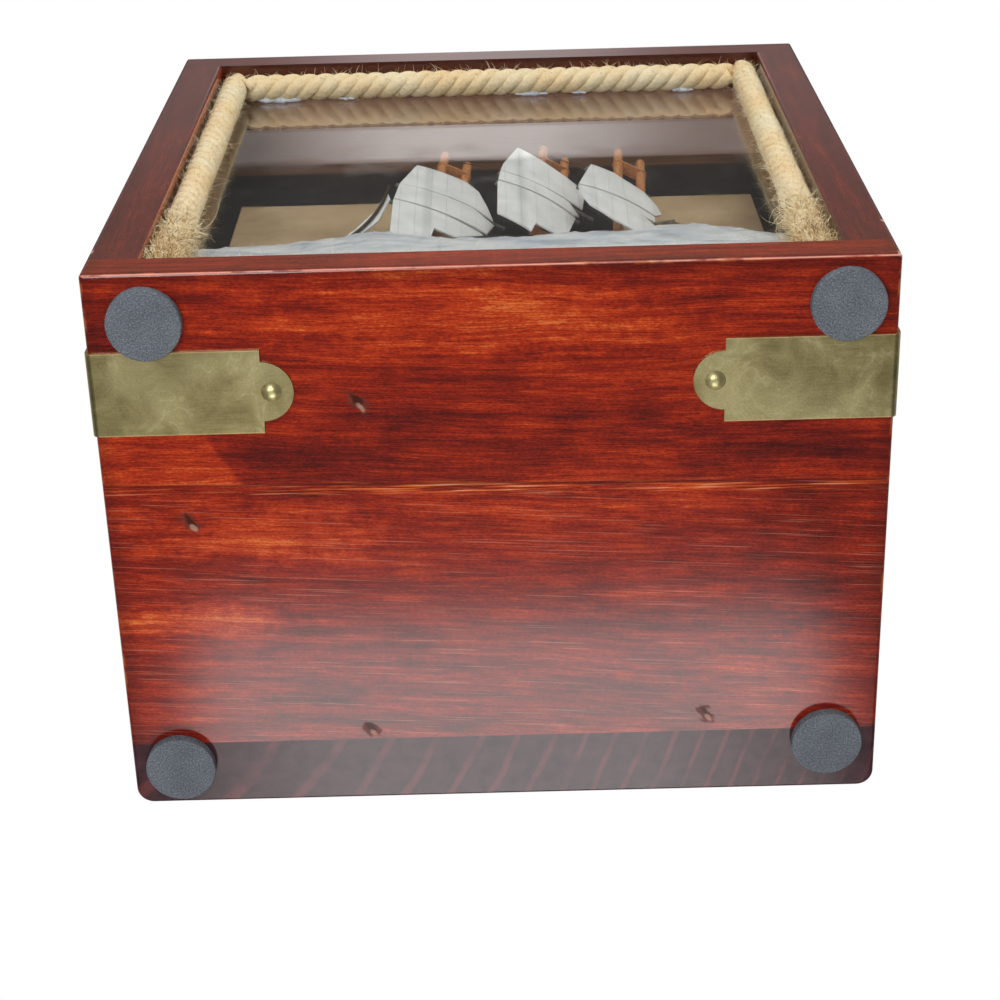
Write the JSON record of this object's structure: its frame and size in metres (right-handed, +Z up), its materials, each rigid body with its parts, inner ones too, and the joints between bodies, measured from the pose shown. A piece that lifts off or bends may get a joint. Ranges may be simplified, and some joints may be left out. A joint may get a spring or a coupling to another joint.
{
  "type": "ditty box",
  "caption": "Stained wooden keepsake box with a glazed ship diorama framed by rope in its front, brass corner straps, stick-on feet and a hinged lid with a finger notch.",
  "frame": {"origin": "centre of the base, on the underside of the foot pads", "axes": "+Z up, front with the glazed diorama towards -Y, +X to the right seen from the front"},
  "size_m": [0.2072, 0.1592, 0.2216],
  "materials": {
    "case_wood": "gloss",
    "back_wood": "satin",
    "strap_brass": "satin",
    "hinge_brass": "satin",
    "pad": "matte",
    "rope": "matte",
    "glass": "gloss",
    "black_board": "matte",
    "card": "matte",
    "hull_wood": "satin",
    "deck_wood": "satin",
    "spar_wood": "satin",
    "sail_card": "matte",
    "sea_plaster": "gloss"
  },
  "bodies": {
    "case": {"back_board": "back_wood", "backing_panel": "black_board", "bottom_front_plank": "case_wood", "bottom_rear_plank": "case_wood", "bowsprit": "spar_wood", "chart_card": "card", "chart_card_right": "card", "deck_houses": "deck_wood", "foot_pad_front_left": "pad", "foot_pad_front_right": "pad", "foot_pad_rear_left": "pad", "foot_pad_rear_right": "pad", "fore_lower_mast": "spar_wood", "fore_sails": "sail_card", "fore_topmast": "spar_wood", "fore_yards": "spar_wood", "glass_pane": "glass", "head_sails": "sail_card", "hinge_case_leaf_left": "hinge_brass", "hinge_case_leaf_right": "hinge_brass", "hinge_pin_left": "hinge_brass", "hinge_pin_right": "hinge_brass", "hinge_screws_case": "hinge_brass", "left_side": "case_wood", "main_lower_mast": "spar_wood", "main_sails": "sail_card", "main_topmast": "spar_wood", "main_yards": "spar_wood", "mizzen_lower_mast": "spar_wood", "mizzen_sails": "sail_card", "mizzen_topmast": "spar_wood", "mizzen_yards": "spar_wood", "right_side": "case_wood", "rope_bottom": "rope", "rope_left": "rope", "rope_right": "rope", "rope_top": "rope", "sea": "sea_plaster", "ship_deck": "deck_wood", "ship_hull": "hull_wood", "spanker_sail": "sail_card", "spanker_spars": "spar_wood", "strap_bottom_left": "strap_brass", "strap_bottom_right": "strap_brass", "strap_nails": "strap_brass", "strap_top_left": "strap_brass", "strap_top_right": "strap_brass", "top_front_board": "case_wood"},
    "lid": {"hinge_lid_leaf_left": "hinge_brass", "hinge_lid_leaf_right": "hinge_brass", "hinge_screws_lid": "hinge_brass", "lid_board": "case_wood"}
  },
  "joints": [
    {"name": "lid_hinge", "type": "hinge", "parent": "case", "child": "lid", "pos_m": [0, 0.07725, 0.2081], "axis": [-1, 0, 0], "range_deg": [0, 200]}
  ]
}
